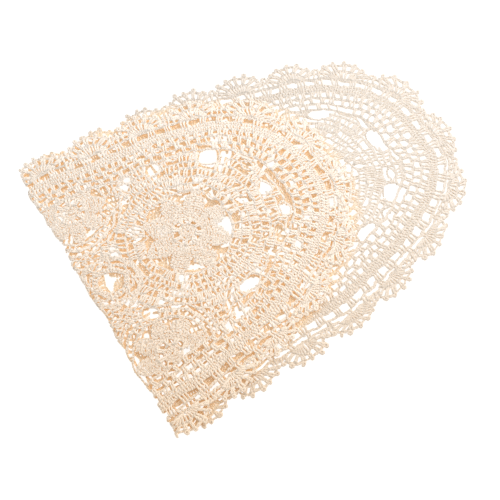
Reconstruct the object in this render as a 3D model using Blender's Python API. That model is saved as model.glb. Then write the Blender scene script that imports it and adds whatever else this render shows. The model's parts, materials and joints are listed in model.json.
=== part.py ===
"""A crocheted cotton doily: a long oval with a scalloped edge, folded once across its width.

The cloth is first laid out flat, with u along the oval and v across it. It is then turned over
a round fold, so that its longer share lies below and its shorter share comes back on top.
Sizes are in metres, and the folded cloth rests on z = 0 with its middle at the origin.
"""

import math

import bpy
import numpy as np
from mathutils import Vector
from mathutils.geometry import delaunay_2d_cdt

# The oval, laid flat
OVAL_LENGTH = 0.600
OVAL_WIDTH = 0.282
OVAL_POWER = 2.47  # 2 is an ellipse, and more fills its corners out

# The scalloped edge
SCALLOPS = 28
SCALLOP_RISE = 0.0027  # how far the top of a scallop passes the oval
SCALLOP_DEPTH = 0.0095  # from the top of a scallop to the notch beside it
SCALLOP_SHIFT = -0.34  # where the first scallop lies, in scallops past the oval's end
SCALLOP_ROUND = 0.6  # under 1 makes broad tops and narrow notches
SCALLOP_POINTS = 10
EVEN_INSET = 0.030  # the ring this far inside the oval is cut into even scallops

# The cloth and its fold
THICKNESS = 0.0020
LAYER_GAP = 0.0012
FOLD_AT = -0.0527  # where the fold crosses the oval's length, from its middle
FOLD_TILT = math.radians(-2.4)
BEND_STRIPS = 6

# How the cloth lies: the upper layer rises in low swells, and the whole is pulled a little askew
SWELL_MEAN = 0.00054
SWELL_LOWEST = -0.0004
SWELL_STARTS = 0.035  # the distance from the fold over which the swells grow
SWELL_WAVES = [
    # rise, radians per metre of u, radians per metre of v, starts at
    (0.00024, 23, 30, -0.4),
    (0.00024, 23, -8, 0.4),
    (0.00029, 31, -27, 1.1),
]
PULL_ALONG = [
    # shift in u, radians per metre of u, radians per metre of v, starts at
    (0.0012, 9, 17, 0.6),
    (0.0006, -6, 41, 0.0),
]
PULL_ACROSS = [
    # shift in v, radians per metre of u, radians per metre of v, starts at
    (0.0012, 19, 0, 0.9),
    (0.0006, 37, 12, 2.0),
]

# The triangles inside the outline
UPPER_PITCH = 0.018
LOWER_PITCH = 0.030
ROW_PITCH = 0.87  # rows lie this much closer than the points along them
EDGE_CLEAR = 0.009
BEND_REACH = 0.6  # how far the lines of the bend run to each side, in oval widths
SAMPLES = 4000
MERGE_WITHIN = 1e-7

# The large gaps in the lace: where each lies on the flat cloth, its two widths and its turn
GAP_SIDES = 12
GAPS = [
    # name, u, v, length, width, turn in degrees
    ("end_gap_middle", 0.2355, 0.0050, 0.0230, 0.0150, 90),
    ("end_gap_left", 0.2060, 0.0550, 0.0230, 0.0120, -18),
    ("end_gap_right", 0.2160, -0.0450, 0.0190, 0.0155, 60),
    ("end_gap_low", 0.1760, -0.0665, 0.0210, 0.0100, 12),
    ("flap_gap_middle", -0.2270, -0.0020, 0.0125, 0.0115, 90),
    ("flap_gap_left", -0.2050, 0.0525, 0.0200, 0.0165, 50),
    ("flap_gap_right", -0.2120, -0.0450, 0.0170, 0.0110, 120),
    ("flap_gap_high", -0.1570, 0.0720, 0.0140, 0.0130, 0),
    ("flap_gap_low", -0.1640, -0.0670, 0.0200, 0.0105, -12),
    ("heart_gap", -0.0735, 0.0010, 0.0200, 0.0190, 90),
    ("slant_gap_left", -0.1140, 0.0650, 0.0120, 0.0100, 70),
    ("slant_gap_right", -0.0830, -0.0400, 0.0140, 0.0105, 25),
    ("under_gap_left", 0.0941, 0.0650, 0.0210, 0.0175, 50),
    ("under_gap_low", 0.0655, -0.0584, 0.0200, 0.0115, -12),
    ("under_heart_gap", 0.0735, 0.0010, 0.0200, 0.0190, 90),
]


def oval_ring(inset):
    """Points round the oval, moved inwards by inset along the oval's normals.

    The oval is the curve where |u / a| and |v / b|, each to OVAL_POWER, add up to 1.
    """
    turn = np.linspace(0, 2 * math.pi, SAMPLES, endpoint=False)
    cos, sin = np.cos(turn), np.sin(turn)
    u = OVAL_LENGTH / 2 * np.sign(cos) * np.abs(cos) ** (2 / OVAL_POWER)
    v = OVAL_WIDTH / 2 * np.sign(sin) * np.abs(sin) ** (2 / OVAL_POWER)
    du = np.roll(u, -1) - np.roll(u, 1)
    dv = np.roll(v, -1) - np.roll(v, 1)
    run = np.hypot(du, dv)
    return np.stack([u - inset * dv / run, v + inset * du / run], axis=1)


def scalloped_outline():
    """The outline: the oval, with its inset swinging between a scallop's top and its notch."""
    outer, even = oval_ring(0.0), oval_ring(EVEN_INSET)
    inward = (even - outer) / EVEN_INSET
    steps = np.linalg.norm(np.roll(even, -1, axis=0) - even, axis=1)
    walked = np.concatenate([[0], np.cumsum(steps)]) / steps.sum() * SCALLOPS
    place = np.arange(SCALLOPS * SCALLOP_POINTS) / SCALLOP_POINTS
    top = np.abs(np.cos(math.pi * place)) ** SCALLOP_ROUND
    inset = SCALLOP_DEPTH * (1 - top) - SCALLOP_RISE
    at = np.mod(place + SCALLOP_SHIFT, SCALLOPS)

    def along(values):
        return np.interp(at, walked, np.append(values, values[0]))

    return np.stack(
        [along(outer[:, k]) + inset * along(inward[:, k]) for k in range(2)], axis=1
    )


def gap_outline(u, v, length, width, turn):
    """An oval gap as a closed run of points: an ellipse, turned about its middle."""
    around = np.linspace(0, 2 * math.pi, GAP_SIDES, endpoint=False)
    x, y = length / 2 * np.cos(around), width / 2 * np.sin(around)
    cos, sin = math.cos(math.radians(turn)), math.sin(math.radians(turn))
    return np.stack([u + x * cos - y * sin, v + x * sin + y * cos], axis=1)


def inside(points, loop):
    """Which points lie in a closed loop: those with an odd number of its sides to their right."""
    start, end = loop, np.roll(loop, -1, axis=0)
    x, y = points[:, :1], points[:, 1:]
    crosses = (start[:, 1] > y) != (end[:, 1] > y)
    rise = np.where(end[:, 1] == start[:, 1], 1.0, end[:, 1] - start[:, 1])
    meets = start[:, 0] + (y - start[:, 1]) * (end[:, 0] - start[:, 0]) / rise
    return np.count_nonzero(crosses & (x < meets), axis=1) % 2 == 1


def from_fold(flat):
    """How far each flat point lies past the fold, and how far along it."""
    past = np.array([math.cos(FOLD_TILT), -math.sin(FOLD_TILT)])
    along = np.array([math.sin(FOLD_TILT), math.cos(FOLD_TILT)])
    shifted = flat - np.array([FOLD_AT, 0.0])
    return shifted @ past, shifted @ along


def waves(flat, table):
    """The sum of a table's slow waves at each flat point."""
    u, v = flat[:, 0], flat[:, 1]
    return sum(size * np.sin(by_u * u + by_v * v + start) for size, by_u, by_v, start in table)


def pulled(flat):
    """The flat cloth a little out of true: each point moves by a few slow waves."""
    return flat + np.stack([waves(flat, PULL_ALONG), waves(flat, PULL_ACROSS)], axis=1)


def swell(flat, past):
    """How far the upper layer rises above an even gap: low waves that start past the fold."""
    grown = np.clip(-past / SWELL_STARTS, 0, 1)
    grown = grown * grown * (3 - 2 * grown)
    return grown * np.maximum(SWELL_MEAN + waves(flat, SWELL_WAVES), SWELL_LOWEST)


def folded(flat, height):
    """Where the flat cloth lies once folded; height is measured off its middle surface.

    Past the fold the cloth stays flat. Short of it, it goes half round a circle whose width
    is the distance between the layers, and comes back over itself.
    """
    radius = (THICKNESS + LAYER_GAP) / 2
    flat = pulled(flat)
    past, along = from_fold(flat)
    turn = np.clip(past / radius, -math.pi / 2, math.pi / 2)
    run = np.maximum(np.abs(past) - radius * math.pi / 2, 0)
    out = run - (radius - height) * np.cos(turn)
    up = radius - (radius - height) * np.sin(turn) + swell(flat, past) + THICKNESS / 2
    cos, sin = math.cos(FOLD_TILT), math.sin(FOLD_TILT)
    return np.stack([FOLD_AT + out * cos + along * sin, along * cos - out * sin, up], axis=1)


def inner_points(outline, gaps):
    """A grid of points inside the outline, closer where the upper layer swells."""
    points = []
    for pitch, upper in ((UPPER_PITCH, True), (LOWER_PITCH, False)):
        u = np.arange(-OVAL_LENGTH / 2, OVAL_LENGTH / 2, pitch)
        v = np.arange(-OVAL_WIDTH / 2, OVAL_WIDTH / 2, pitch * ROW_PITCH)
        grid_u, grid_v = np.meshgrid(u, v)
        grid_u[1::2] += pitch / 2
        grid = np.stack([grid_u.ravel(), grid_v.ravel()], axis=1)
        past = from_fold(grid)[0]
        clear = past < -EDGE_CLEAR if upper else past > EDGE_CLEAR
        points.append(grid[clear])
    points = np.concatenate(points)
    points = points[inside(points, outline)]
    edges = np.concatenate([outline, *gaps])
    away = np.linalg.norm(points[:, None] - edges[None], axis=2).min(axis=1)
    return points[away > EDGE_CLEAR]


def bend_lines():
    """The ends of the lines that cut the bend into narrow strips."""
    radius = (THICKNESS + LAYER_GAP) / 2
    past = np.linspace(-1, 1, BEND_STRIPS + 1) * radius * math.pi / 2
    cos, sin = math.cos(FOLD_TILT), math.sin(FOLD_TILT)
    ends = []
    for distance in past:
        for side in (-1, 1):
            along = side * OVAL_WIDTH * BEND_REACH
            u = FOLD_AT + distance * cos + along * sin
            ends.append([u, along * cos - distance * sin])
    return np.array(ends)


def flat_triangles():
    """The flat cloth as triangles: the outline with its gaps, and the lines of the bend."""
    outline = scalloped_outline()
    gaps = [gap_outline(*row[1:]) for row in GAPS]
    loops = [outline, *gaps]
    lines = bend_lines()
    points = np.concatenate([*loops, lines, inner_points(outline, gaps)])
    edges, first = [], 0
    for loop in loops:
        count = len(loop)
        edges += [(first + k, first + (k + 1) % count) for k in range(count)]
        first += count
    edges += [(first + k, first + k + 1) for k in range(0, len(lines), 2)]
    made = delaunay_2d_cdt([Vector(p) for p in points.tolist()], edges, [], 0, MERGE_WITHIN)
    points, faces = np.array([list(p) for p in made[0]]), np.array(made[2])
    middle = points[faces].mean(axis=1)
    kept = inside(middle, outline)
    for gap in gaps:
        kept &= ~inside(middle, gap)
    faces = faces[kept]
    used, faces = np.unique(faces, return_inverse=True)
    return points[used], faces.reshape(-1, 3)


def sheet_faces(faces, count):
    """Both sides of the sheet and the wall along every open edge, all facing outwards."""
    edges = np.concatenate([faces[:, [0, 1]], faces[:, [1, 2]], faces[:, [2, 0]]])
    key = np.sort(edges, axis=1)
    _, first, uses = np.unique(key, axis=0, return_index=True, return_counts=True)
    rim = edges[first[uses == 1]]
    start, end = rim[:, 0], rim[:, 1]
    wall = [
        np.stack([start, start + count, end + count], axis=1),
        np.stack([start, end + count, end], axis=1),
    ]
    return np.concatenate([faces, faces[:, ::-1] + count, *wall])


def cotton():
    """Unbleached cotton thread, dull and pale."""
    material = bpy.data.materials.new("cotton")
    material.use_nodes = True
    shader = material.node_tree.nodes["Principled BSDF"]
    shader.inputs["Base Color"].default_value = (0.86, 0.74, 0.56, 1)
    shader.inputs["Roughness"].default_value = 0.85
    shader.inputs["Metallic"].default_value = 0
    return material


def make_doily():
    """The whole doily, as one folded sheet."""
    points, faces = flat_triangles()
    upper = folded(points, THICKNESS / 2)
    lower = folded(points, -THICKNESS / 2)
    corners = np.concatenate([upper, lower])
    middle = (corners.min(axis=0) + corners.max(axis=0)) / 2
    corners -= [middle[0], middle[1], 0]
    mesh = bpy.data.meshes.new("doily")
    mesh.from_pydata(corners.tolist(), [], sheet_faces(faces, len(points)).tolist())
    mesh.materials.append(cotton())
    doily = bpy.data.objects.new("doily", mesh)
    bpy.context.collection.objects.link(doily)
    return doily


for old in list(bpy.data.objects):
    bpy.data.objects.remove(old)
make_doily()
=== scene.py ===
"""A crocheted cotton doily, stitch by stitch: a long oval worked in the round and folded once.

Every stitch is first laid out on the flat cloth, in millimetres, with u along the oval, v across it
and height off the middle of the cloth. The flat cloth is then folded as the solid underneath is.
"""

import json
import math

import bpy
import numpy as np
from bpy.props import FloatProperty, FloatVectorProperty, PointerProperty
from bpy.types import Operator, Panel, PropertyGroup
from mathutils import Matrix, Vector

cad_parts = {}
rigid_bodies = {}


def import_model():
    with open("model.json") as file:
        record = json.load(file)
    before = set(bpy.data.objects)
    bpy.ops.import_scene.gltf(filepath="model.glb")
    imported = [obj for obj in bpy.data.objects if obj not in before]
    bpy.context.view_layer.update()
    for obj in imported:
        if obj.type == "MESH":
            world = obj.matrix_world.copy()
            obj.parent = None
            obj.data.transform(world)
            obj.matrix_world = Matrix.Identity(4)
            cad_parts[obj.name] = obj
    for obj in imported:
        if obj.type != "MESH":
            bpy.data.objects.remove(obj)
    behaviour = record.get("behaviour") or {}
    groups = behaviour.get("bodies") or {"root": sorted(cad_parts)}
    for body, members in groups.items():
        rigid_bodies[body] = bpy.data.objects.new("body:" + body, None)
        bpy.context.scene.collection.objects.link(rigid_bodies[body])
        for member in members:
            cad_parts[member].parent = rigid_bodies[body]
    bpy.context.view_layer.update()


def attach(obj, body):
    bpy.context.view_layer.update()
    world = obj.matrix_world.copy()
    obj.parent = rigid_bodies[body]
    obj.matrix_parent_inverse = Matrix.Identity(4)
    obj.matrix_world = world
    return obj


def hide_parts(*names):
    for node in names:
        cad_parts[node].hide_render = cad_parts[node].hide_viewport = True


bl_info = {
    "name": "Crocheted doily",
    "version": (1, 0, 0),
    "blender": (4, 5, 0),
    "location": "View3D > Sidebar > Doily",
    "description": "Lays an oval lace doily stitch by stitch and folds it once",
    "category": "Add Mesh",
}

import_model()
SOLID = "doily"
MM = 0.001

# The oval, laid flat
OVAL_LENGTH = 600.0
OVAL_WIDTH = 282.0
OVAL_POWER = 2.47
SCALLOPS = 28
SCALLOP_SHIFT = -0.34
EVEN_INSET = 30.0  # how far in the scallops are spaced evenly
SAMPLES = 4000  # points worked out round the oval
GAP_STEPS = 48  # and round a gap
RING_STEPS = 40  # steps to a scallop in a ring of chain
GROUND_STEPS = 12  # and in the line that the ground ends at

# The fold, and how the cloth lies; waves count radians per millimetre
THICKNESS = 2.0
LAYER_GAP = 1.2
FOLD_AT = -52.7
FOLD_COS = math.cos(math.radians(-2.4))  # the fold runs a little aslant
FOLD_SIN = math.sin(math.radians(-2.4))
FOLDED_MIDDLE = (119.05, 0.42)  # by u and v, which comes to lie at the origin
SWELL_MEAN = 0.54
SWELL_LOWEST = -0.4
SWELL_STARTS = 35.0  # how far short of the fold the swells are full
SWELL_WAVES = [
    # rise, by u, by v, starts at
    (0.24, 0.023, 0.030, -0.4),
    (0.24, 0.023, -0.008, 0.4),
    (0.29, 0.031, -0.027, 1.1),
]
BULGES = [
    # how far the folded edge bulges, by the way along it, starts at
    (0.9, 0.075, 0.6),
    (0.7, 0.17, 2.2),
    (0.35, 0.41, 0.9),
]
BULGE_FADES = 11.0
# where the painted shade under the upper layer starts and where it is full; it starts a little outside
# the upper layer's edge
COVERED_SHADE = (1.05, 0.92)  # share of the oval where the covered part starts, and where it is full
PULL_ALONG = [
    # shift in u, by u, by v, starts at
    (1.2, 0.009, 0.017, 0.6),
    (0.6, -0.006, 0.041, 0.0),
    (0.45, 0.11, 0.16, 2.1),
    (0.35, -0.19, 0.08, 0.7),
    (0.50, 0.33, 0.21, 1.3),
    (0.40, -0.27, 0.44, 0.2),
]
PULL_ACROSS = [
    # shift in v, by u, by v, starts at
    (1.2, 0.019, 0.0, 0.9),
    (0.6, 0.037, 0.012, 2.0),
    (0.45, 0.15, -0.10, 0.3),
    (0.35, 0.07, 0.21, 1.9),
    (0.50, 0.24, -0.36, 2.2),
    (0.40, 0.41, 0.30, 0.9),
]

# The stitches; thread widths are shares of the strand in the tall stitches
LINK = 2.8  # length of one chain stitch
TALL = 1.0
CHAIN = 0.84
THIN = 0.66
TALL_SPREAD = 0.60
TALL_CROSS = 0.28
CHAIN_SPREAD = 0.58
THIN_SPREAD = 0.42
POST_WIDTHS = (1.38, 0.90, 1.22, 1.38)  # from foot to head, with a wrap before the head
CHAIN_LEG = [
    # share of the way along, share of the spread, height, share of the sag
    (-0.12, 0.35, -0.25, 0.0),
    (0.45, 1.0, 0.1, 1.0),
    (1.15, 0.8, 0.35, 0.0),
]
GAP_EDGE = 1.6  # how far a tall stitch of the bands may reach into a gap
GROUP_STRAY = 0.45  # how far a group of tall stitches strays along its round
SNUG = 2.35  # from one tall stitch to the next where they stand close
PICOT_LOOP = 1.3
PICOT_THREAD = 1.4
PICOT_POINTS = 6
PICOT_SIDES = 5
PICOT_TIPPED = 0.26  # how high its two sides are tipped

# The edging: rings counted inwards from the oval
FAN_TURN = math.radians(67)
FAN_SPOKES = 7
FAN_TIP = (20.2, 0.885)  # half across a fan, and share of the way out from its hub
FAN_BASE = (12.4, 0.50)
FAN_ROOT = (6.4, 0.02)
FAN_RIMS = [(FAN_TIP, 15), (FAN_BASE, 10)]  # with the chain stitches along each
RIM_OVER = 1.06  # how far they reach past the outer spokes
SPOKE_PAIR = 1.0  # half the width between a spoke's two stitches at its head
SPOKE_FOOT = 0.7  # and at its foot
SHELL_POSTS = 13
SHELL_TURN = math.radians(82)
PICOT_OUT = 2.0  # from the fan's tip to the middle of a picot
PICOT_SPREAD = 1.02  # how much more the picots are spread than the spokes
VALLEYS = [
    # half across a fan where the loop starts, inset there, inset midway between the fans
    (19.6, 9.8, 8.0),
    (15.0, 14.2, 12.8),
]
VALLEY_POSTS = (-5.4, -1.8, 1.8, 5.4)  # tall stitches in a valley, off its middle
VALLEY_WIDENS = 1.35  # how much wider apart they start
VALLEY_SLACK = 1.06  # how much longer a loop is than its span
LENSES = 70  # low gaps all the way round, under the fans
LENS_POSTS = 2
LENS_RING = 19.2
LENS_DEEP = (2.3, 2.3)  # how deep they are on the whole, and how much more to one side
HUB_OVER = 0.3  # how far outside their foot the fans' hubs lie
SWAYS = [
    # how far the rounds stray inwards, times round the oval, starts at
    (1.1, 9, 0.4),
    (0.7, 17, 2.0),
]
SWAY_STARTS = 14.0  # the inset by which they stray in full

# The bands inside the edging
EYELETS = 84
EYELET_POSTS = 3
EYELET_RING = 26.6
EYELET_SNUG = 2.65
SOLID_RINGS = (26.6, 29.9, 33.2)
SOLID_POSTS = 19  # close tall stitches to one scallop
OPEN_ROUNDS = [
    # groups of tall stitches, stitches to one, from one to the next, shift, ring they stand on
    (180, 2, 1.9, 0.0, 38.9),
    (126, 2, 2.3, 0.0, 44.4),
    (126, 2, 2.1, 0.5, 50.2),
]
GROUND_RING = OPEN_ROUNDS[-1][-1]
TIP_STRETCH = 7.4  # how much deeper the open rounds reach at the oval's two tips
TIP_SPREAD = 2.0  # and over how many scallops either way

# The rosettes
PETALS = 8
CORE_RINGS = (2.3, 4.6, 6.9)  # rounds of close stitches about the middle
SPOKE_RING = 12.4  # where the petals start, past a round of small holes
SPOKE_CHAIN = 12.0  # the round of chain that they stand on
ROW = 2.0  # from one close row to the next
ROW_POINTS = 13
PETAL_STITCH = {"width": 0.74, "spread": 0.46}
PETAL_LINK = 2.35
PETAL_FULL = (25.5, 10.2, 13.0)  # where a petal is widest, half its width there, and how fast it closes
PETAL_TOUCH = 0.1  # how far a petal reaches over the line between it and the next
PETAL_HEM = 0.3  # how far a row stops short of its petal's edge
SPOKE_HALF = 0.085  # half the turn between the two stitches of a spoke
PETAL_BOW = 1.1  # how far a row bows outwards
RIM = 38.6
SIDE_SIZE = 0.82  # how large a side rosette's petals and rim are beside a main one's
ROSETTES = {
    # u, v, degrees round to the first gap between petals
    "near end": (-149.5, 2.5, 203),
    "far end": (154.0, 3.0, 26),
    "middle": (0.0, 0.0, 175),
}
SIDE_ROSETTES = [
    # the same
    (-79.0, 76.0, 35),
    (-80.0, -79.0, 26),
    (78.0, 78.0, 42),
    (79.0, -78.0, 42),
]
NETS = {
    # rounds, their depth, a cell's width, its thread's width, half a post's width, its tip
    "near end": (12, 6.9, 4.2, 0.92, 0.56, 180),
    "far end": (14, 5.6, 3.4, 0.86, 0.40, 0),
    "middle": (14, 5.3, 3.8, 0.86, 0.42, 160),
}
SIDE_NET = (1, 5.4, 6.0, 0.86, 0.50, 0)  # the same, about a rosette at the side
NET_LONG = (0.08, 0.10)  # how much deeper the net's rounds are towards and along the tip
NET_WAVE = (0.9, 8, 0.9)  # rise of a round's waves, waves to a round, shift to the next
NET_CHAIN_SPREAD = 0.50
NET_SKEW = 0.20  # how unevenly its posts stand, as a share of a cell
NET_SAG = 0.45  # how far its chain swings outwards between two posts
NET_MISSED = 0.10  # share of its posts left out
NET_CLOSE = (0.42, 7, 1.3, 0.30)  # worked close: over this sine, times round, shift, lean to the left
SIDE_REACH = 37.2  # how far a side rosette and its net reach
SIDE_ROPES = 4.6  # and how far past it the second rope runs
SIDE_STEPS = 180  # steps round in a rope
MIDDLE_ENDS = (-90.0, 90.0)  # the middle net's share of the gaps and slots, by u
GAP_HEM = 0.9  # from a gap to the chain round it
GAP_CLEAR = 0.6  # and to the nearest other stitch
HEARTS = [
    # u, v
    (-73.5, 1.0),
    (73.5, 1.0),
]
HEART_RINGS = (10.8, 13.6)
HEART_POSTS = 24
HEART_ROPES = (22.5, 24.5)
HEART_SPOKE = (-1.5, 3.8)  # where a stitch between two arches starts and ends, from their foot
HEART_ARCHES = [
    # where the round starts, how far an arch swings out, arches, turned by a share of one
    (13.6, 4.2, 6, 0.0),
    (18.4, 3.6, 8, 0.5),
]

# The large gaps, each an oval with its two widths and its turn in degrees
GAPS = [
    # name, u, v, length, width, turn
    ("end_gap_middle", 235.5, 5.0, 23.0, 15.0, 90),
    ("end_gap_left", 206.0, 55.0, 23.0, 12.0, -18),
    ("end_gap_right", 216.0, -45.0, 19.0, 15.5, 60),
    ("end_gap_low", 176.0, -66.5, 21.0, 10.0, 12),
    ("flap_gap_middle", -227.0, -2.0, 12.5, 11.5, 90),
    ("flap_gap_left", -205.0, 52.5, 20.0, 16.5, 50),
    ("flap_gap_right", -212.0, -45.0, 17.0, 11.0, 120),
    ("flap_gap_high", -157.0, 72.0, 14.0, 13.0, 0),
    ("flap_gap_low", -164.0, -67.0, 20.0, 10.5, -12),
    ("heart_gap", -73.5, 1.0, 20.0, 19.0, 90),
    ("slant_gap_left", -114.0, 65.0, 12.0, 10.0, 70),
    ("slant_gap_right", -83.0, -40.0, 14.0, 10.5, 25),
    ("under_gap_left", 94.1, 65.0, 21.0, 17.5, 50),
    ("under_gap_low", 65.5, -58.4, 20.0, 11.5, -12),
    ("under_heart_gap", 73.5, 1.0, 20.0, 19.0, 90),
]
GAP_POWER = 2.2  # the power that makes a gap's corners full
SLOTS = [
    # u, v, length, width, turn: first about the far end
    (233.0, 26.5, 17.0, 5.0, 98),
    (240.5, -13.5, 15.0, 4.8, 84),
    (224.5, 46.0, 15.0, 5.0, 130),
    (187.0, 70.5, 15.0, 4.8, -12),
    (226.0, -29.5, 13.0, 5.0, 68),
    (200.0, -59.5, 13.0, 6.0, 32),
    (157.0, -71.0, 14.0, 4.6, 8),
    # about the near end
    (-228.0, 24.0, 14.0, 4.6, 82),
    (-229.8, -28.0, 13.0, 8.5, 100),
    (-141.0, -70.4, 15.0, 6.5, -38),
    (-179.6, 71.6, 10.5, 6.5, 16),
    (-134.2, 75.6, 9.0, 6.0, -8),
    (-217.8, 63.5, 14.0, 8.0, 50),
    (-127.8, 81.1, 8.5, 6.5, 0),
    (-128.4, 69.6, 10.0, 5.0, 60),
    (-103.4, 58.8, 8.5, 5.0, 45),
    (-112.5, 21.5, 13.0, 5.0, 20),
    # by the far rosette, and where the upper layer's slots show through
    (196.5, -5.6, 9.5, 8.0, 60),
    (208.0, -9.8, 12.0, 4.0, -33),
    (19.0, 79.5, 18.0, 10.0, 60),
    (34.5, -22.0, 17.0, 6.5, -28),
    (12.0, -35.0, 14.0, 6.0, -38),
    (3.5, 25.5, 13.0, 5.0, 20),
    (56.0, 40.5, 10.5, 4.4, 4),
    (58.5, 35.5, 11.5, 4.4, 4),
    (67.5, -15.5, 14.0, 5.0, 0),
    # beside the near heart
    (-70.0, -22.5, 15.0, 4.6, -22),
    (-70.0, 25.5, 14.0, 4.4, 12),
]
SLOT_POWER = 1.6
ROW_SPOTS = [
    # u, v, length, width, turn: where a few stitches are left out
    (-143.3, -82.6, 6.5, 5.5, 10),
    (-129.0, -87.5, 6.5, 5.5, 10),
    (33.5, -82.2, 8.5, 7.0, 0),
    (46.8, -76.6, 7.5, 6.5, 0),
    (111.4, 74.5, 8.0, 5.5, 135),
    (-217.2, 43.1, 6.0, 5.0, 0),
    (108.2, 59.4, 6.5, 5.5, 0),
    (129.0, -15.8, 10.0, 8.0, 40),
    (-14.9, -36.9, 10.0, 6.0, 10),
    (-89.2, -84.4, 7.5, 4.5, 20),
    (-6.4, -81.5, 8.0, 5.0, -20),
]

# Small places where both layers happen to be open
SPOTS = 30
SPOT_SEED = 7
SPOTS_ALONG = (-225.0, -95.0)  # where they lie along the oval
SPOTS_ACROSS = (-112.0, 100.0)  # and across it
SPOT_LEAN = 1.25  # over 1, the more of them lie on the oval's right side
SPOT_SIZE = (3.2, 5.6)
SPOT_CLEAR = 35.0  # how far they keep from the middle of a rosette

# The cotton and the paper
FIBRES = (2200.0, 2.0)  # lumps per metre, and the detail in them
CLOUDS = (28.0, 1.0)
MOTTLE = (30.0, 2.0)
MOTTLE_DARK = 0.98
PAPER_ROUGH = 0.9
ROUGH = (0.62, 0.25)  # least, and how much more between fibres
SHEEN_ROUGH = 0.5
FREE_SAMPLES = 4  # looks round at each place
PLIES = 3
HIDDEN = (0.30, 0.68)  # the free share of sky where the thread counts as hidden and gets full painted shade and glow, and where it is free of them
OPEN_SHADE = 0.5  # how much painted shade closed in thread gets where it is not covered
GROOVE_SHADE = 0.47  # how much painted shade lies in the grooves between plies; below, the random tone on fibres and on clouds
FIBRE_DARK = 0.10
CLOUD_DARK = 0.10
CORNER_SHADE_WAY = (-0.507, -0.862)  # which way the painted shade deepens, darker and warmer
CORNER_SHADE_ENDS = (-0.09, 0.216)  # how far that way it starts, and where it is deepest
CORNER_SHADE_MOST = 0.52  # and how deep it is there
PLY_HEIGHT = 0.00010
FIBRE_HEIGHT = 0.00004

# The view
FLOOR_REACH = 30.0
FLOOR_AT = -0.0004
LAMPS = [
    # name of the lamp and of the setting that holds its power, place, width
    ("key", (0.515, -0.015, 0.62), 0.6),
    ("fill", (0.26, 0.60, 0.50), 0.8),
]
CAMERA_AT = (-0.1734, -0.2586, 0.6329)
CAMERA_TO = (-0.0391, -0.0305, 0.0)
CAMERA_LENS = 58.1


# -------- the flat cloth


def unit(vectors):
    """Vectors made one long."""
    return vectors / np.maximum(np.linalg.norm(vectors, axis=-1, keepdims=True), 1e-9)


def square_to(vectors):
    """Flat vectors turned a quarter to the left."""
    return np.stack([-vectors[..., 1], vectors[..., 0]], axis=-1)


def whole_turn(steps=120):
    """Turns from 0 all the way round, in equal steps."""
    return np.linspace(0, 2 * math.pi, steps + 1)


def around(centre, reach, turn):
    """Flat points at a distance and a turn about a centre."""
    return centre + np.stack([reach * np.cos(turn), reach * np.sin(turn)], axis=-1)


def distance(points, u, v):
    """How far points lie from one at u, v."""
    return np.hypot(points[:, 0] - u, points[:, 1] - v)


def oval(length, width, power, steps):
    """Points round an oval, where |2u / length| and |2v / width|, each to a power, add up to 1."""
    way = around((0.0, 0.0), 1.0, whole_turn(steps))
    return np.sign(way) * np.abs(way) ** (2 / power) * (length / 2, width / 2)


OUTER = oval(OVAL_LENGTH, OVAL_WIDTH, OVAL_POWER, SAMPLES)[:-1]
INWARD = square_to(unit(np.roll(OUTER, -1, axis=0) - np.roll(OUTER, 1, axis=0)))
EVEN = OUTER + EVEN_INSET * INWARD
STEPS = np.linalg.norm(np.roll(EVEN, -1, axis=0) - EVEN, axis=1)
WALKED = np.concatenate([[0], np.cumsum(STEPS)]) / STEPS.sum() * SCALLOPS
PITCH = STEPS.sum() / SCALLOPS


def read_off(place, values):
    """Values given round the oval, each column read off at places counted in scallops."""
    at = np.mod(place + SCALLOP_SHIFT, SCALLOPS)
    columns = [np.interp(at, WALKED, np.append(column, column[0])) for column in values.T]
    return np.stack(columns, axis=-1)


def border(place, inset):
    """Flat points by place, in scallops round the oval, and by inset inwards from it.

    A point is the oval's own point at that place, plus inset times the inward normal there.
    The rounds stray inwards by a few slow waves of the place, and the open ones are stretched
    inwards near the two tips, by a bell curve of the place.
    """
    at = np.mod(place + SCALLOP_SHIFT, SCALLOPS)
    from_tip = (at + SCALLOPS / 4) % (SCALLOPS / 2) - SCALLOPS / 4
    deep = np.clip((inset - SOLID_RINGS[-1]) / (GROUND_RING - SOLID_RINGS[-1]), 0, 1)
    turn = 2 * math.pi * at / SCALLOPS
    stray = sum(size * np.sin(turns * turn + start) for size, turns, start in SWAYS)
    inset = inset + TIP_STRETCH * deep * np.exp(-((from_tip / TIP_SPREAD) ** 2))
    inset = inset + stray * np.clip(inset / SWAY_STARTS, 0, 1)
    return read_off(place, OUTER) + inset[..., None] * read_off(place, INWARD)


def fan_foot(place):
    """The inset of the fans' foot: the low gaps under it are deepest on the oval's right side."""
    right = -read_off(place, OUTER)[..., 1] / (OVAL_WIDTH / 2)
    return LENS_RING - LENS_DEEP[0] - LENS_DEEP[1] * right


def inside(points, loop):
    """Which points lie in a closed loop: those with an odd number of its sides to their right."""
    start, end = loop, np.roll(loop, -1, axis=0)
    x, y = points[:, :1], points[:, 1:]
    crosses = (start[:, 1] > y) != (end[:, 1] > y)
    rise = np.where(end[:, 1] == start[:, 1], 1.0, end[:, 1] - start[:, 1])
    meets = start[:, 0] + (y - start[:, 1]) * (end[:, 0] - start[:, 0]) / rise
    return np.count_nonzero(crosses & (x < meets), axis=1) % 2 == 1


def from_fold(flat):
    """How far each flat point lies past the fold, and how far along it."""
    u, v = flat[:, 0] - FOLD_AT, flat[:, 1]
    return u * FOLD_COS - v * FOLD_SIN, u * FOLD_SIN + v * FOLD_COS


def off_fold(past, along):
    """The flat point that lies so far past the fold, and so far along it."""
    return FOLD_AT + past * FOLD_COS + along * FOLD_SIN, along * FOLD_COS - past * FOLD_SIN


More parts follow.
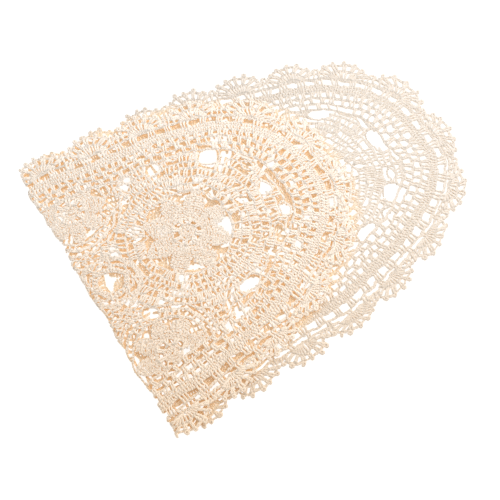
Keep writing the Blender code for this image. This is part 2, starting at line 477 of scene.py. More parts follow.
def open_spots():
    """Small ovals at random in the upper layer, their twins in the lower one, and ROW_SPOTS."""
    random = np.random.default_rng(SPOT_SEED)
    u = random.uniform(*SPOTS_ALONG, SPOTS)
    low, high = SPOTS_ACROSS
    v = low + (high - low) * random.random(SPOTS) ** SPOT_LEAN
    form = np.column_stack([random.uniform(*SPOT_SIZE, (SPOTS, 2)), random.uniform(0, 180, SPOTS)])
    upper = np.column_stack([u, v])
    past, along = from_fold(upper)
    under = np.column_stack(off_fold(-past, along))
    free = np.ones(SPOTS, bool)
    for *centre, _ in (*ROSETTES.values(), *SIDE_ROSETTES):
        free &= distance(upper, *centre) > SPOT_CLEAR
        free &= distance(under, *centre) > SPOT_CLEAR
    spots = [np.column_stack([layer, form])[free] for layer in (upper, under)]
    return np.concatenate([*spots, ROW_SPOTS])


OPEN_SPOTS = open_spots()


def clear_of(ovals, points, margin):
    """Which points lie outside every oval, once it is grown by margin.

    Along and across an oval, a point's two shares of the way out have a length over 1.
    """
    kept = np.ones(len(points), bool)
    for u, v, length, width, turn in ovals:
        cos, sin = math.cos(math.radians(turn)), math.sin(math.radians(turn))
        du, dv = points[:, 0] - u, points[:, 1] - v
        along = (du * cos + dv * sin) / (length / 2 + margin)
        across = (dv * cos - du * sin) / (width / 2 + margin)
        kept &= np.hypot(along, across) > 1
    return kept


def clear_of_spots(points):
    """Which points lie outside every open spot."""
    return clear_of(OPEN_SPOTS, points, 0.0)


def clear_of_gaps(points, margin=GAP_CLEAR):
    """Which points lie outside every large gap, slot and open spot."""
    return clear_of([*OPEN_SPOTS, *(row[1:] for row in GAPS), *SLOTS], points, margin)


def oval_line(u, v, length, width, turn, margin, power):
    """A gap's oval as a closed line, grown by margin and turned in place."""
    line = oval(length + 2 * margin, width + 2 * margin, power, GAP_STEPS)
    cos, sin = math.cos(math.radians(turn)), math.sin(math.radians(turn))
    return (u, v) + line @ [[cos, sin], [-sin, cos]]


# -------- the fold


def waves(flat, table):
    """The sum of a table's slow waves at each flat point."""
    u, v = flat[:, 0], flat[:, 1]
    return sum(size * np.sin(by_u * u + by_v * v + start) for size, by_u, by_v, start in table)


def folded(corners, gap, rise):
    """Where flat corners (u, v, height) lie once the cloth is folded, in metres.

    Past the fold the cloth stays flat. Short of it, it goes half round a circle whose width
    is the distance between the layers, and comes back over itself in low swells. Near the
    fold both layers shift with its edge, by the sum of a few waves along it.
    """
    flat, height = corners[:, :2], corners[:, 2]
    flat = flat + np.stack([waves(flat, PULL_ALONG), waves(flat, PULL_ACROSS)], axis=1)
    past, along = from_fold(flat)
    radius = (THICKNESS + gap) / 2
    turn = np.clip(past / radius, -math.pi / 2, math.pi / 2)
    run = np.maximum(np.abs(past) - radius * math.pi / 2, 0)
    grown = np.clip(-past / SWELL_STARTS, 0, 1)
    grown = grown * grown * (3 - 2 * grown)
    swell = grown * np.maximum(rise + waves(flat, SWELL_WAVES), SWELL_LOWEST)
    bulge = sum(size * np.sin(by * along + start) for size, by, start in BULGES)
    out = run - (radius - height) * np.cos(turn) - bulge * np.exp(-run / BULGE_FADES)
    up = radius - (radius - height) * np.sin(turn) + swell + THICKNESS / 2
    x, y = off_fold(out, along)
    return np.stack([x - FOLDED_MIDDLE[0], y - FOLDED_MIDDLE[1], up], axis=1) * MM


def layers(corners):
    """Whether flat corners lie in the upper layer, and how far they are covered by it: 0 to 1.

    A point past the fold is covered where its twin across the fold lies inside the oval, with a ramp
    that starts a little outside it. The two shares mask the cotton's lit copy and its painted shade.
    """
    past, along = from_fold(corners[:, :2])
    u, v = off_fold(-past, along)
    out = np.abs(2 * u / OVAL_LENGTH) ** OVAL_POWER + np.abs(2 * v / OVAL_WIDTH) ** OVAL_POWER
    start, full = COVERED_SHADE
    return past < 0, np.where(past < 0, 0.0, np.clip((start - out) / (start - full), 0, 1))


# -------- thread


def everywhere(points):
    """Keeps every point."""
    return np.ones(len(points), bool)


class Thread:
    """The thread of one piece, as closed tubes on the flat cloth."""

    def __init__(self, strand, hand):
        self.strand = strand
        self.hand = hand
        self.random = None
        self.count = 0
        self.corners, self.loops, self.sizes, self.places = [], [], [], []

    def lay(self, place, height, radius, sides=4, closed=False):
        """Adds a tube round each line of an array of flat places, (lines, points, 2), at a height.

        A corner lies off its line by the radius there times (cos a along the level side vector
        plus sin a along the vector square to both), for a going round in equal steps.
        """
        count, points = place.shape[:2]
        if count == 0:
            return
        lines = np.concatenate([place, np.broadcast_to(height, (count, points, 1))], axis=2)
        if closed:
            run = unit(np.roll(lines, -1, axis=1) - np.roll(lines, 1, axis=1))
        else:
            run = unit(np.gradient(lines, axis=1))
        side = unit(np.cross(run, [0.0, 0.0, 1.0]))
        angle = (np.arange(sides)[:, None] + 0.5) / sides * 2 * math.pi
        swing = np.cos(angle) * side[:, :, None] + np.sin(angle) * np.cross(side, run)[:, :, None]
        radius = np.broadcast_to(radius, points)[:, None, None]
        self.corners.append((lines[:, :, None] + radius * swing).reshape(-1, 3))
        first = self.count + np.arange(count)[:, None] * points * sides
        self.count += count * points * sides
        turns = points if closed else points - 1
        k, s = np.arange(turns)[:, None], np.arange(sides)
        after, beside = (k + 1) % points, (s + 1) % sides
        quads = [k * sides + s, after * sides + s, after * sides + beside, k * sides + beside]
        self.loops.append((first + np.stack(quads, axis=-1).ravel()).ravel())
        self.sizes.append(np.full(count * turns * sides, 4))
        steps = np.linalg.norm(np.diff(lines, axis=1), axis=2)
        walked = np.cumsum(np.hstack([np.zeros((count, 1)), steps, steps[:, -1:]]), axis=1)
        along = walked[:, k + [0, 1, 1, 0]][:, :, None]
        round_it = (s[:, None] + [0, 0, 1, 1]) / sides
        places = np.stack(np.broadcast_arrays(along, round_it), axis=-1)
        self.places.append(places.reshape(-1, 2))
        if not closed:
            ends = np.concatenate([s, (points - 1) * sides + s[::-1]])
            self.loops.append((first + ends).ravel())
            self.sizes.append(np.full(2 * count, sides))
            self.places.append(np.zeros((2 * count * sides, 2)))

    def uneven(self, points):
        """Points moved a little, as an uneven hand places them."""
        return points + self.random.normal(0, self.hand, points.shape)

    def posts(self, foot, head, keep=everywhere, width=TALL, spread=TALL_SPREAD):
        """Tall stitches, only where keep says so of foot, head and middle.

        Each is two strands twisted once about each other. At share s of the way up, a strand
        lies spread times cos(2 pi s) to the side of the line from foot to head and TALL_CROSS
        times sin(2 pi s) above it; its twin is opposite.
        """
        foot, head = foot.reshape(-1, 2), head.reshape(-1, 2)
        kept = keep(foot) & keep(head) & keep((foot + head) / 2)
        foot, head = self.uneven(foot[kept]), self.uneven(head[kept])
        share = np.linspace(0, 1, len(POST_WIDTHS))[:, None]
        line = foot[:, None] + share * (head - foot)[:, None]
        across = square_to(unit(head - foot))[:, None]
        radius = width * self.strand / 2 * np.array(POST_WIDTHS)
        for sign in (1, -1):
            place = line + sign * spread * np.cos(2 * math.pi * share) * across
            self.lay(place, sign * TALL_CROSS * np.sin(2 * math.pi * share), radius)

    def chain(self, start, end, keep=everywhere, width=CHAIN, spread=CHAIN_SPREAD, sag=0.0):
        """Chain stitches, each a V of two legs, only where keep says so of their middles.

        The legs start together under the stitch before, open to each side and end over the
        start of the next one. The middle of a stitch swings to the right by sag.
        """
        start, end = start.reshape(-1, 2), end.reshape(-1, 2)
        kept = keep((start + end) / 2)
        start, end = self.uneven(start[kept]), self.uneven(end[kept])
        share, wide, height, swing = np.array(CHAIN_LEG).T[:, :, None]
        line = start[:, None] + share * (end - start)[:, None]
        across = square_to(unit(end - start))[:, None]
        for sign in (1, -1):
            place = line + (sign * spread * wide - swing * sag) * across
            self.lay(place, height, width * self.strand / 2)

    def picots(self, centre):
        """Small closed loops of thread: circles about their centres, tipped up a little."""
        turn = whole_turn(PICOT_POINTS)[:-1]
        place = around(self.uneven(centre.reshape(-1, 1, 2)), PICOT_LOOP, turn)
        height = PICOT_TIPPED * np.cos(turn)[:, None]
        self.lay(place, height, PICOT_THREAD * self.strand / 2, PICOT_SIDES, closed=True)


THIN_CHAIN = {"width": THIN, "spread": THIN_SPREAD}


def cut(line, pitch=LINK):
    """A line as equal short runs about pitch long: where each one starts and ends."""
    steps = np.linalg.norm(np.diff(line, axis=0), axis=1)
    walked = np.concatenate([[0], np.cumsum(steps)])
    count = max(1, round(walked[-1] / pitch))
    at = np.linspace(0, walked[-1], count + 1)
    points = np.stack([np.interp(at, walked, line[:, k]) for k in (0, 1)], axis=1)
    return points[:-1], points[1:]


def chain_along(thread, line, keep=everywhere, pitch=LINK, **settings):
    """Chain stitches along a line."""
    thread.chain(*cut(line, pitch), keep, **settings)


def ring_chain(thread, inset, keep=everywhere):
    """Chain stitches all the way round at one inset, or at one for each place."""
    place = np.linspace(0, SCALLOPS, RING_STEPS * SCALLOPS + 1)
    inset = inset(place) if callable(inset) else inset
    chain_along(thread, border(place, inset), keep)


def beside_gaps(points):
    """Which points lie outside every gap and slot, or only just inside one."""
    return clear_of_gaps(points, -GAP_EDGE)


def groups(thread, count, each, snug, foot, head, shift=0.0, keep=everywhere):
    """Groups of tall stitches spaced evenly round the oval, from one inset out to another.

    A stitch stands at its group's place plus its number from the group's middle times snug.
    """
    place = (np.arange(count) + shift) * SCALLOPS / count
    place = (place + thread.random.normal(0, GROUP_STRAY / PITCH, count))[:, None]
    place = place + (np.arange(each) - (each - 1) / 2)[None] * snug / PITCH
    head = head(place) if callable(head) else head
    thread.posts(border(place, foot), border(place, head), keep)


# -------- the edging


def fan_point(fan, turn, size):
    """Points on a fan's ellipse.

    A turn of a leads size[0] sin a to the side of the fan's middle, and size[1] cos a of the
    way out from its hub to the oval.
    """
    across, share = size
    hub = fan_foot(fan) - HUB_OVER
    return border(fan + across * np.sin(turn) / PITCH, hub * (1 - share * np.cos(turn)))


def edging(thread):
    """The scalloped edge: a fan with picots to each scallop, and the loops between the fans."""
    fan = np.arange(SCALLOPS)[:, None]
    spokes = np.linspace(-FAN_TURN, FAN_TURN, FAN_SPOKES)[None]
    for side in (-SPOKE_PAIR, SPOKE_PAIR):
        foot = fan_point(fan, spokes + side * SPOKE_FOOT / FAN_BASE[0], FAN_BASE)
        thread.posts(foot, fan_point(fan, spokes + side / FAN_TIP[0], FAN_TIP))
    shell = np.linspace(-SHELL_TURN, SHELL_TURN, SHELL_POSTS)[None]
    thread.posts(fan_point(fan, shell, FAN_ROOT), fan_point(fan, shell, FAN_BASE))
    for size, count in FAN_RIMS:
        turns = np.linspace(-FAN_TURN * RIM_OVER, FAN_TURN * RIM_OVER, count + 1)
        line = fan_point(fan, turns[None], size)
        thread.chain(line[:, :-1], line[:, 1:])
    out = (FAN_TIP[0] + PICOT_OUT, FAN_TIP[1] + PICOT_OUT / LENS_RING)
    thread.picots(fan_point(fan, spokes * PICOT_SPREAD, out))
    for half, inset, middle in VALLEYS:
        length = PITCH - 2 * half
        share = np.linspace(0, 1, max(3, round(length * VALLEY_SLACK / LINK)) + 1)[None]
        deep = inset + (middle - inset) * np.sin(math.pi * share)
        line = border(fan + (half + length * share) / PITCH, deep)
        thread.chain(line[:, :-1], line[:, 1:], **THIN_CHAIN)
    between = fan + 0.5
    for offset in VALLEY_POSTS:
        middle = between + offset / PITCH
        thread.posts(border(middle, VALLEYS[1][2]), border(middle, VALLEYS[0][2]))
        wider = between + offset * VALLEY_WIDENS / PITCH
        thread.posts(border(wider, fan_foot(wider)), border(middle, VALLEYS[1][2]))
    ring_chain(thread, fan_foot)
    ring_chain(thread, LENS_RING)
    groups(thread, LENSES, LENS_POSTS, SNUG, LENS_RING, fan_foot)


# -------- the bands


def eyelet_band(thread):
    """The row of oblong eyelets and the solid band inside it."""
    groups(thread, EYELETS, EYELET_POSTS, EYELET_SNUG, EYELET_RING, LENS_RING, shift=0.5)
    place = np.arange(SCALLOPS * SOLID_POSTS) / SOLID_POSTS
    for outer, inner in zip(SOLID_RINGS[:-1], SOLID_RINGS[1:]):
        place = place + 0.5 / SOLID_POSTS
        thread.posts(border(place, inner), border(place, outer))
    for inset in SOLID_RINGS:
        ring_chain(thread, inset)


def open_band(thread):
    """Three rounds of open work: small squares, then blocks and oblong arches half a step on."""
    outer = SOLID_RINGS[-1]
    for count, each, snug, shift, inner in OPEN_ROUNDS:
        groups(thread, count, each, snug, inner, outer, shift, beside_gaps)
        outer = inner
    for *_, inset in OPEN_ROUNDS:
        ring_chain(thread, inset, clear_of_spots)


# -------- the rosettes

GROUND_PLACES = np.linspace(0, SCALLOPS, GROUND_STEPS * SCALLOPS, endpoint=False)
GROUND_LOOP = border(GROUND_PLACES, GROUND_RING)


def in_bands(points):
    """Which points lie inside the bands."""
    return inside(points, GROUND_LOOP)


def in_ground(points):
    """Which points lie inside the bands and outside every gap."""
    return in_bands(points) & clear_of_gaps(points)


def petal_half(reach, size):
    """Half a petal's width at a reach: it fills its share of the turn, then closes as an oval."""
    widest, half, closes = (size * part for part in PETAL_FULL)
    filled = reach * math.sin(math.pi / PETALS) + PETAL_TOUCH
    return min(filled, half * math.sqrt(1 - (max(reach - widest, 0) / closes) ** 2))


def rosette(thread, u, v, first, size=1.0):
    """A rosette: close rounds, a round of small holes, petals of close bowed rows, and a rim."""
    centre = (u, v)
    for reach in (*CORE_RINGS, SPOKE_CHAIN, size * RIM):
        chain_along(thread, around(centre, reach, whole_turn()), in_ground)
    petal = math.radians(first) + (np.arange(PETALS) + 0.5) / PETALS * 2 * math.pi
    spoke = petal[:, None] + np.array([-1, 1]) * SPOKE_HALF
    foot, head = around(centre, CORE_RINGS[-1], spoke), around(centre, SPOKE_RING, spoke)
    thread.posts(foot, head, in_ground)
    for row in range(int((size * RIM - SPOKE_RING) / ROW)):
        reach = SPOKE_RING + (row + 0.5) * ROW
        share = np.linspace(-1, 1, ROW_POINTS)
        bowed = reach - PETAL_BOW * share**2
        for middle in petal:
            arc = middle + share * (petal_half(reach, size) - PETAL_HEM) / reach
            line = around(centre, bowed, arc)[:: 1 if row % 2 else -1]
            chain_along(thread, line, in_ground, PETAL_LINK, **PETAL_STITCH)


def main_rosettes(thread):
    """The three large rosettes along the oval."""
    for row in ROSETTES.values():
        rosette(thread, *row)


def side_rosettes(thread):
    """The four rosettes at the sides, cut by the bands."""
    for row in SIDE_ROSETTES:
        rosette(thread, *row, SIDE_SIZE)


# -------- the net


def net_ground(points, centre, large):
    """Which points of the ground the net about a rosette covers.

    They lie nearer to it than to the other large ones, and outside the side rosettes' and the
    hearts' circles. A side rosette's net stays in its own circle.
    """
    reach = distance(points, *centre)
    kept = in_ground(points)
    if large:
        for u, v, _ in ROSETTES.values():
            kept &= reach <= distance(points, u, v)
        for u, v, _ in SIDE_ROSETTES:
            kept &= distance(points, u, v) > SIDE_REACH + SIDE_ROPES
    else:
        kept &= reach < SIDE_REACH
    for u, v in HEARTS:
        kept &= distance(points, u, v) > HEART_ROPES[-1]
    return kept


def net(thread, centre, settings, large=True):
    """Rounds of small open cells about a rosette, each a round of posts with a chain on top.

    Round k lies at the rim plus k times the depth, times one plus a little of the cosine of
    the turn from the tip and of twice that turn, and waves a little by the sine of the turn.
    Posts stand unevenly and some are missed; where a sine of the turn is high, more stand
    between them, the most on the oval's left side. The chain swings outwards between posts.
    """
    rounds, depth, cell, width, spread, tip = settings
    rim = RIM if large else SIDE_SIZE * RIM
    by_one, by_two = NET_LONG
    rise, waves_round, shift = NET_WAVE
    over, closes, drift, lean = NET_CLOSE

    def keep(points):
        return net_ground(points, centre, large)

    def at(level, turn):
        from_tip = turn - math.radians(tip)
        longer = 1 + by_one * np.cos(from_tip) + by_two * np.cos(2 * from_tip)
        wave = rise * np.sin(waves_round * turn + shift * level) * (level > 0)
        return around(centre, rim + level * depth * longer + wave, turn)

    for level in range(rounds):
        reach = rim + (level + 0.5) * depth
        cells = round(reach * 2 * math.pi / cell)
        pitch = 2 * math.pi / cells
        turn = (np.arange(cells) + 0.5 * (level % 2)) * pitch
        foot, head = (turn + thread.random.normal(0, NET_SKEW * pitch, cells) for _ in range(2))
        tops = at(level + 1, head)
        worked = thread.random.random(cells) > NET_MISSED
        thread.posts(at(level, foot)[worked], tops[worked], keep, width, spread)
        closely = np.sin(closes * turn + drift * level) + lean * np.sin(turn)
        close = turn[closely > over] + pitch / 2
        thread.posts(at(level, close), at(level + 1, close), keep, width, spread)
        thread.chain(tops, np.roll(tops, -1, axis=0), keep, width, NET_CHAIN_SPREAD, NET_SAG)


def gap_loops(thread, low, high):
    """A chain round each gap and slot, but for the hearts', between two values of u."""
    rows = [(row[1:], GAP_POWER) for row in GAPS if "heart" not in row[0]]
    for (u, v, *size), power in rows + [(row, SLOT_POWER) for row in SLOTS]:
        if low <= u < high:
            line = oval_line(u, v, *size, GAP_HEM, power)
            chain_along(thread, line, in_bands, **THIN_CHAIN)


def heart(thread, centre):
    """A round hole with a worked ring, and two rounds of arches about it."""
    circle = whole_turn()
    low, high = HEART_RINGS
    turn = np.arange(HEART_POSTS) / HEART_POSTS * 2 * math.pi
    thread.posts(around(centre, low, turn), around(centre, high, turn))
    for reach in HEART_RINGS:
        chain_along(thread, around(centre, reach, circle))
    for start, swing, arches, shift in HEART_ARCHES:
        wave = np.abs(np.sin((circle / (2 * math.pi) + shift / arches) * arches * math.pi))
        chain_along(thread, around(centre, start + swing * wave, circle), clear_of_gaps)
        turn = (np.arange(arches) - shift) / arches * 2 * math.pi
        foot, head = (around(centre, start + end, turn) for end in HEART_SPOKE)
        thread.posts(foot, head, clear_of_gaps)
    for reach in HEART_ROPES:
        chain_along(thread, around(centre, reach, circle), clear_of_gaps)


def near_net(thread):
    """The net about the near end's rosette."""
    net(thread, ROSETTES["near end"][:2], NETS["near end"])
    gap_loops(thread, -OVAL_LENGTH, MIDDLE_ENDS[0])


def far_net(thread):
    """The net about the far end's rosette."""
    net(thread, ROSETTES["far end"][:2], NETS["far end"])
    gap_loops(thread, MIDDLE_ENDS[1], OVAL_LENGTH)


def middle_net(thread):
    """The net about the middle rosette, the hearts, and the side rosettes' last rounds."""
    net(thread, ROSETTES["middle"][:2], NETS["middle"])
    for centre in HEARTS:
        heart(thread, centre)
    gap_loops(thread, *MIDDLE_ENDS)
    for *centre, _ in SIDE_ROSETTES:
        net(thread, centre, SIDE_NET, large=False)
        for reach in (SIDE_REACH, SIDE_REACH + SIDE_ROPES):
            chain_along(thread, around(centre, reach, whole_turn(SIDE_STEPS)), in_ground)


# -------- the pieces

PIECES = {
    # what works each piece of the lace, in order, with the seed of its unevenness
    "eyelet_band": [(eyelet_band, 12)],
    "open_band": [(open_band, 13)],
    "main_rosettes": [(main_rosettes, 14)],
    "side_rosettes": [(side_rosettes, 15)],
    "far_net": [(far_net, 17)],
    "middle_net": [(middle_net, 18)],
    "edging_and_near_net": [(edging, 11), (near_net, 16)],
}


def make_piece(context, name):
    """The mesh of one piece's thread, folded and in place."""
    if name in bpy.data.objects:
        raise RuntimeError(f"{name} is already made")
    sizes = context.scene.doily_sizes
    thread = Thread(sizes.strand / MM, sizes.hand / MM)
    for work, seed in PIECES[name]:
        thread.random = np.random.default_rng(seed)
        work(thread)
    flat_corners = np.concatenate(thread.corners)
    grown = sizes.length / MM / OVAL_LENGTH
    corners = folded(flat_corners, sizes.layer_gap / MM, sizes.swell / MM) * grown
    loops = np.concatenate(thread.loops)
    faces = np.concatenate(thread.sizes)
    mesh = bpy.data.meshes.new(name)
    mesh.vertices.add(len(corners))
    mesh.vertices.foreach_set("co", corners.astype(np.float32).ravel())
    mesh.loops.add(len(loops))
    mesh.loops.foreach_set("vertex_index", loops.astype(np.int32))
    mesh.polygons.add(len(faces))
    starts = np.concatenate([[0], np.cumsum(faces)[:-1]])
    mesh.polygons.foreach_set("loop_start", starts.astype(np.int32))
    mesh.polygons.foreach_set("use_smooth", np.ones(len(faces), bool))
    layer = mesh.uv_layers.new(name="thread")
    layer.uv.foreach_set("vector", np.concatenate(thread.places).astype(np.float32).ravel())
    # the masks for the cotton's lighter lit copy in the upper layer and for the painted shade under it
    for label, values in zip(("upper", "covered"), layers(flat_corners)):
        layer = mesh.attributes.new(label, "FLOAT", "POINT")
        layer.data.foreach_set("value", values.astype(np.float32))
    mesh.update()
    mesh.validate()
    mesh.materials.append(cotton(context.scene.doily_cotton))
    piece = bpy.data.objects.new(name, mesh)
    context.scene.collection.objects.link(piece)
    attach(piece, "root")
    return piece


def declare_cloth(grown):
    """Works out the doily's flat area, and does not use it.

    Its flat size is the oval's, and its flat area is what the oval encloses, by the shoelace
    rule: half the sum of x times the next y less y times the next x.
    """
    x, y = OUTER.T
    area = abs(np.sum(x * np.roll(y, -1) - y * np.roll(x, -1))) / 2
    area = float(area) * (MM * grown) ** 2


# -------- materials


class Socket:
    """What a node gives out. Sums written with it add Math nodes."""

    def __init__(self, nodes, output):
        self.nodes = nodes
        self.output = output

    def math(self, operation, *values):
        settings = {"operation": operation}
        return self.nodes.add("ShaderNodeMath", settings, dict(enumerate(values)))

    def __add__(self, other):
        return self.math("ADD", self, other)

    def __radd__(self, other):
        return self.math("ADD", other, self)

    def __rsub__(self, other):
        return self.math("SUBTRACT", other, self)

    def __mul__(self, other):
        return self.math("MULTIPLY", self, other)

    def __rmul__(self, other):
        return self.math("MULTIPLY", other, self)

    def sine(self):
        return self.math("SINE", self)


class Nodes:
    """The nodes of one material."""

    def __init__(self, name):
        self.material = bpy.data.materials.new(name)
        self.material.use_nodes = True
        self.tree = self.material.node_tree
        self.shader = self.tree.nodes["Principled BSDF"]

    def add(self, kind, settings, inputs, output=0):
        """A new node: its settings are set first, then its sockets' values or links."""
        node = self.tree.nodes.new(kind)
        for name, value in settings.items():
            setattr(node, name, value)
        for socket, value in inputs.items():
            self.give(node, socket, value)
        return Socket(self, node.outputs[output])

    def give(self, node, socket, value):
        """Links a value to a node's socket, or sets it there if it is a plain one."""
        if isinstance(value, Socket):
            self.tree.links.new(value.output, node.inputs[socket])
        else:
            node.inputs[socket].default_value = value

    def blend(self, share, *colours):
        """The first colour, turning to the second as share goes from 0 to 1."""
        first, second = (c if isinstance(c, Socket) else (*c, 1.0) for c in colours)
        settings = {"data_type": "RGBA", "clamp_factor": True}
        return self.add("ShaderNodeMix", settings, {0: share, 6: first, 7: second}, output=2)

    def axes(self, place):
        """The first two numbers of a place."""
        split = ("ShaderNodeSeparateXYZ", {}, {0: place})
        return [self.add(*split, output=axis) for axis in ("X", "Y")]

    def noise(self, place, lumps):
        """Smooth noise from 0 to 1 at a place, by its lumps to the metre and their detail."""
        inputs = {"Vector": place, "Scale": lumps[0], "Detail": lumps[1]}
        return self.add("ShaderNodeTexNoise", {}, inputs)


def cotton(look):
    """Twisted cotton thread.

    Light and shade are painted into its colour. It has one colour where the cloth is single, a
    lighter lit copy of it in the upper layer, and warmer painted shade with a painted glow where it
    is covered by the upper layer or closed in by other stitches. It has painted shade in the
    grooves between its plies, is a little uneven from fibre to fibre, and has painted shade, darker
    and warmer, by the square of the way towards one corner.
    """
    made = bpy.data.materials.get("cotton thread")
    if made:
        return made
    nodes = Nodes("cotton thread")
    place = nodes.add("ShaderNodeTexCoord", {}, {}, output="Object")
    thread = nodes.add("ShaderNodeUVMap", {"uv_map": "thread"}, {})
    along, round_it = nodes.axes(thread)
    upper, covered = (
        nodes.add("ShaderNodeAttribute", {"attribute_name": name}, {}, output="Fac")
        for name in ("upper", "covered")
    )
    fibre = nodes.noise(place, FIBRES)
    cloud = nodes.noise(place, CLOUDS)
    turns = along * (MM / look.twist) + round_it * PLIES
    ply = 0.5 + 0.5 * (turns * (2 * math.pi)).sine()
    looks, near = {"samples": FREE_SAMPLES}, {"Distance": look.closeness}
    # painted shade and glow where other stitches close the thread in, by the free share of sky about it
    free = nodes.add("ShaderNodeAmbientOcclusion", looks, near, output="AO")
    ends = {"From Min": HIDDEN[0], "From Max": HIDDEN[1], "To Min": 1.0, "To Max": 0.0}
    hidden = nodes.add("ShaderNodeMapRange", {}, {"Value": free, **ends})
    # lit and shaded copies of one colour: the single cloth's, a lighter lit copy in the upper layer,
    # and painted shade under it
    lit = nodes.blend(upper, look.single, look.upper)
    lit = nodes.blend(covered, lit, look.covered)
    painted_crevice_shade = hidden * (OPEN_SHADE + (1 - OPEN_SHADE) * covered)
    shaded = nodes.blend(painted_crevice_shade, lit, look.shade)
    # painted shade in the grooves between plies, with random tone from fibre to fibre and in clouds
    shade_and_tone_share = (1 - ply) * GROOVE_SHADE + fibre * FIBRE_DARK + cloud * CLOUD_DARK
    groove_shaded_and_mottled = nodes.blend(shade_and_tone_share, shaded, look.groove_shade_and_tone)
    # painted shade: darker and warmer by the square of the way towards one corner
    x, y = nodes.axes(place)
    ends = {"From Min": CORNER_SHADE_ENDS[0], "From Max": CORNER_SHADE_ENDS[1]}
    painted_corner_shade = nodes.add("ShaderNodeMapRange", {}, {"Value": x * CORNER_SHADE_WAY[0] + y * CORNER_SHADE_WAY[1], **ends})
    painted_corner_shade = painted_corner_shade * painted_corner_shade * CORNER_SHADE_MOST
    nodes.give(nodes.shader, "Base Color", nodes.blend(painted_corner_shade, groove_shaded_and_mottled, look.painted_corner_shade))
    nodes.give(nodes.shader, "Roughness", ROUGH[0] + ROUGH[1] * fibre)
    # a painted glow: emitted where the thread is closed in, more under the upper layer, less where the
    # painted corner shade lies
    glow = nodes.blend(covered, look.glow, look.covered_painted_glow)
    glow = nodes.blend(hidden * (1 - painted_corner_shade), (0.0, 0.0, 0.0), glow)
    nodes.give(nodes.shader, "Emission Color", glow)
    nodes.give(nodes.shader, "Emission Strength", 1.0)
    nodes.give(nodes.shader, "Sheen Weight", look.sheen)
    nodes.give(nodes.shader, "Sheen Roughness", SHEEN_ROUGH)
    height = ply * PLY_HEIGHT + fibre * FIBRE_HEIGHT
    inputs = {"Strength": 1.0, "Distance": 1.0, "Height": height}
    nodes.give(nodes.shader, "Normal", nodes.add("ShaderNodeBump", {}, inputs))
    return nodes.material


def paper(look):
    """Smooth white paper, with a faint mottle."""
    nodes = Nodes("paper")
    place = nodes.add("ShaderNodeTexCoord", {}, {}, output="Object")
    darker = [MOTTLE_DARK * part for part in look.floor]
    colour = nodes.blend(nodes.noise(place, MOTTLE), look.floor, darker)
    nodes.give(nodes.shader, "Base Color", colour)
    nodes.give(nodes.shader, "Roughness", PAPER_ROUGH)
    nodes.give(nodes.shader, "Specular IOR Level", 0.0)
    nodes.give(nodes.shader, "Emission Color", (1.0, 1.0, 1.0, 1.0))
    nodes.give(nodes.shader, "Emission Strength", look.floor_glow)
    return nodes.material


# -------- the stage


def aim(thing, at, to):
    """Puts a lamp or camera in place, looking at a point."""
    thing.location = at
    thing.rotation_mode = "QUATERNION"
    thing.rotation_quaternion = (Vector(to) - Vector(at)).to_track_quat("-Z", "Y")


def make_stage(scene):
    """The floor, the sky, the lamps and the camera."""
    look = scene.doily_stage
    mesh = bpy.data.meshes.new("floor")
    corners = FLOOR_REACH * np.array([(-1, -1), (1, -1), (1, 1), (-1, 1)])
    mesh.from_pydata([(x, y, FLOOR_AT) for x, y in corners], [], [(0, 1, 2, 3)])
    mesh.materials.append(paper(look))
    floor = bpy.data.objects.new("floor", mesh)
    scene.collection.objects.link(floor)
    scene.world = bpy.data.worlds.new("studio")
    scene.world.use_nodes = True
    sky = scene.world.node_tree.nodes["Background"]
    sky.inputs["Color"].default_value = (1, 1, 1, 1)
    sky.inputs["Strength"].default_value = look.sky
    for name, at, width in LAMPS:
        light = bpy.data.lights.new(name, "AREA")
        light.energy = getattr(look, name)
        light.size = width
        lamp = bpy.data.objects.new(name, light)
        aim(lamp, at, (0.0, 0.0, 0.0))
        scene.collection.objects.link(lamp)
    camera = bpy.data.objects.new("camera", bpy.data.cameras.new("camera"))
    camera.data.lens = CAMERA_LENS
    aim(camera, CAMERA_AT, CAMERA_TO)
    scene.collection.objects.link(camera)
    scene.camera = camera
    scene.view_settings.view_transform = "Standard"


# -------- the add-on


def size_setting(name, description, default):
    """A length that a maker may change."""
    return FloatProperty(name=name, description=description, default=default, unit="LENGTH")


def colour_setting(name, description, default):
    """A colour that a maker may change."""
    return FloatVectorProperty(name=name, description=description, default=default, subtype="COLOR")


class DoilySizes(PropertyGroup):
    """What a maker would size: the cloth, its thread and how it lies."""

    length: size_setting(
        "Length laid flat",
        "From tip to tip of the oval before it is folded; all else follows it",
        OVAL_LENGTH * MM,
    )
    strand: size_setting("Strand", "Width of one strand of the thread in a tall stitch", 1.62 * MM)
    hand: size_setting("Unevenness", "How far a stitch strays from its place", 0.36 * MM)
    layer_gap: size_setting("Layer gap", "Room between the layers at the fold", LAYER_GAP * MM)
    swell: size_setting("Swell", "How far the upper layer stands up on the whole", SWELL_MEAN * MM)


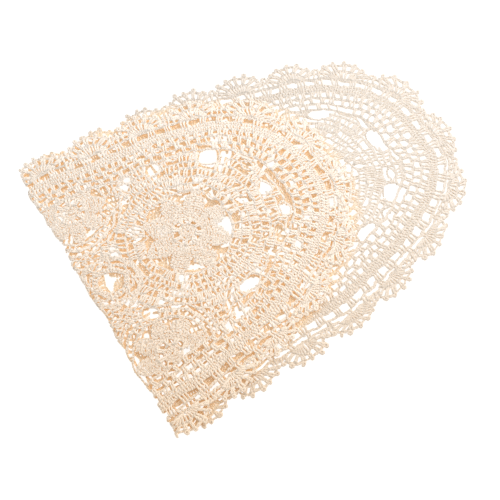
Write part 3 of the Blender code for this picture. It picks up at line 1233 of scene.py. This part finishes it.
class DoilyCotton(PropertyGroup):
    """The colours and finish of the cotton, with light and shade painted into them."""

    # single, upper and covered are lit and shaded copies of one cotton colour: upper is a lighter lit
    # copy, covered is painted shade under the upper layer
    single: colour_setting("Single", "The thread where the cloth lies single", (0.78, 0.725, 0.675))
    upper: colour_setting("Upper", "The thread of the upper layer", (0.99, 0.91, 0.835))
    covered: colour_setting("Covered", "The thread under the upper layer", (0.98, 0.79, 0.575))
    # shade is painted shade, where other stitches close the thread in
    shade: colour_setting("Shade", "The thread where other stitches close it in", (0.94, 0.74, 0.50))
    # painted shade in the grooves between plies, and the random tone of fibres and clouds
    groove_shade_and_tone: colour_setting("Groove", "The grooves between the plies", (0.70, 0.58, 0.44))
    # Yellowed is painted shade: what the thread darkens and warms towards at one corner
    painted_corner_shade: colour_setting("Yellowed", "What it yellows towards at one corner", (0.85, 0.58, 0.31))
    # glow and covered glow are painted glow, emitted by the thread itself where it is closed in
    glow: colour_setting("Glow", "Light that reaches closed in thread", (0.12, 0.095, 0.07))
    covered_painted_glow: colour_setting("Covered glow", "And under the upper layer", (0.33, 0.185, 0.07))
    closeness: size_setting("Closeness", "How near a stitch is that shades another", 5.0 * MM)
    twist: size_setting("Twist", "Along the thread from one ply to the next", 2.1 * MM)
    sheen: FloatProperty(
        name="Sheen", description="How soft and fuzzy the thread looks", default=0.15, subtype="FACTOR"
    )


class DoilyStage(PropertyGroup):
    """The floor and the light."""

    floor: colour_setting("Floor", "Colour of the paper", (0.3, 0.3, 0.3))
    floor_glow: FloatProperty(
        name="Floor glow", description="Light that comes up through the paper", default=0.82
    )
    sky: FloatProperty(name="Sky", description="Even light from all round", default=0.81)
    key: FloatProperty(
        name="Key lamp", description="Power of the lamp at the right", default=3.7, unit="POWER"
    )
    fill: FloatProperty(
        name="Fill lamp", description="Power of the lamp behind", default=1.5, unit="POWER"
    )


class MakesPieces:
    """Makes the pieces that the operator names, in order."""

    bl_options = {"REGISTER", "UNDO"}
    names = ()

    def execute(self, context):
        for name in self.names:
            make_piece(context, name)
        return {"FINISHED"}


class DOILY_OT_bands(MakesPieces, Operator):
    """Makes the eyelets, the solid band and the open rounds"""

    bl_idname = "doily.bands"
    bl_label = "Bands"
    names = ("eyelet_band", "open_band")


class DOILY_OT_rosettes(MakesPieces, Operator):
    """Makes the three large rosettes and the four at the sides"""

    bl_idname = "doily.rosettes"
    bl_label = "Rosettes"
    names = ("main_rosettes", "side_rosettes")


class DOILY_OT_nets(MakesPieces, Operator):
    """Makes the net in the middle and at the far end, between the rosettes and the bands"""

    bl_idname = "doily.nets"
    bl_label = "Nets"
    names = ("far_net", "middle_net")


class DOILY_OT_edging(MakesPieces, Operator):
    """Makes the scalloped edging and the near end's net, which stand for the solid"""

    bl_idname = "doily.edging"
    bl_label = "Edging and near net"
    names = ("edging_and_near_net",)

    def execute(self, context):
        done = super().execute(context)
        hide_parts(SOLID)
        declare_cloth(context.scene.doily_sizes.length / MM / OVAL_LENGTH)
        return done


class DOILY_OT_stage(Operator):
    """Makes the floor, the light and the camera"""

    bl_idname = "doily.stage"
    bl_label = "Stage"
    bl_options = {"REGISTER", "UNDO"}

    def execute(self, context):
        if "floor" in bpy.data.objects:
            raise RuntimeError("the stage is already made")
        make_stage(context.scene)
        return {"FINISHED"}


OPERATORS = (DOILY_OT_bands, DOILY_OT_rosettes, DOILY_OT_nets, DOILY_OT_edging, DOILY_OT_stage)
SETTINGS = {"doily_sizes": DoilySizes, "doily_cotton": DoilyCotton, "doily_stage": DoilyStage}


class DOILY_PT_panel(Panel):
    """Lists the sizes, the colours and the operators"""

    bl_label = "Doily"
    bl_idname = "DOILY_PT_panel"
    bl_space_type = "VIEW_3D"
    bl_region_type = "UI"
    bl_category = "Doily"

    def draw(self, context):
        for name, group in SETTINGS.items():
            box = self.layout.box()
            for prop in group.__annotations__:
                box.prop(getattr(context.scene, name), prop)
        for operator in OPERATORS:
            self.layout.operator(operator.bl_idname)


CLASSES = (*SETTINGS.values(), *OPERATORS, DOILY_PT_panel)


def register():
    for cls in CLASSES:
        bpy.utils.register_class(cls)
    for name, group in SETTINGS.items():
        setattr(bpy.types.Scene, name, PointerProperty(type=group))


def unregister():
    for name in SETTINGS:
        delattr(bpy.types.Scene, name)
    for cls in reversed(CLASSES):
        bpy.utils.unregister_class(cls)


def main():
    register()
    bpy.ops.doily.bands()
    bpy.ops.doily.rosettes()
    bpy.ops.doily.nets()
    bpy.ops.doily.edging()
    bpy.ops.doily.stage()


if __name__ == "__main__":
    main()
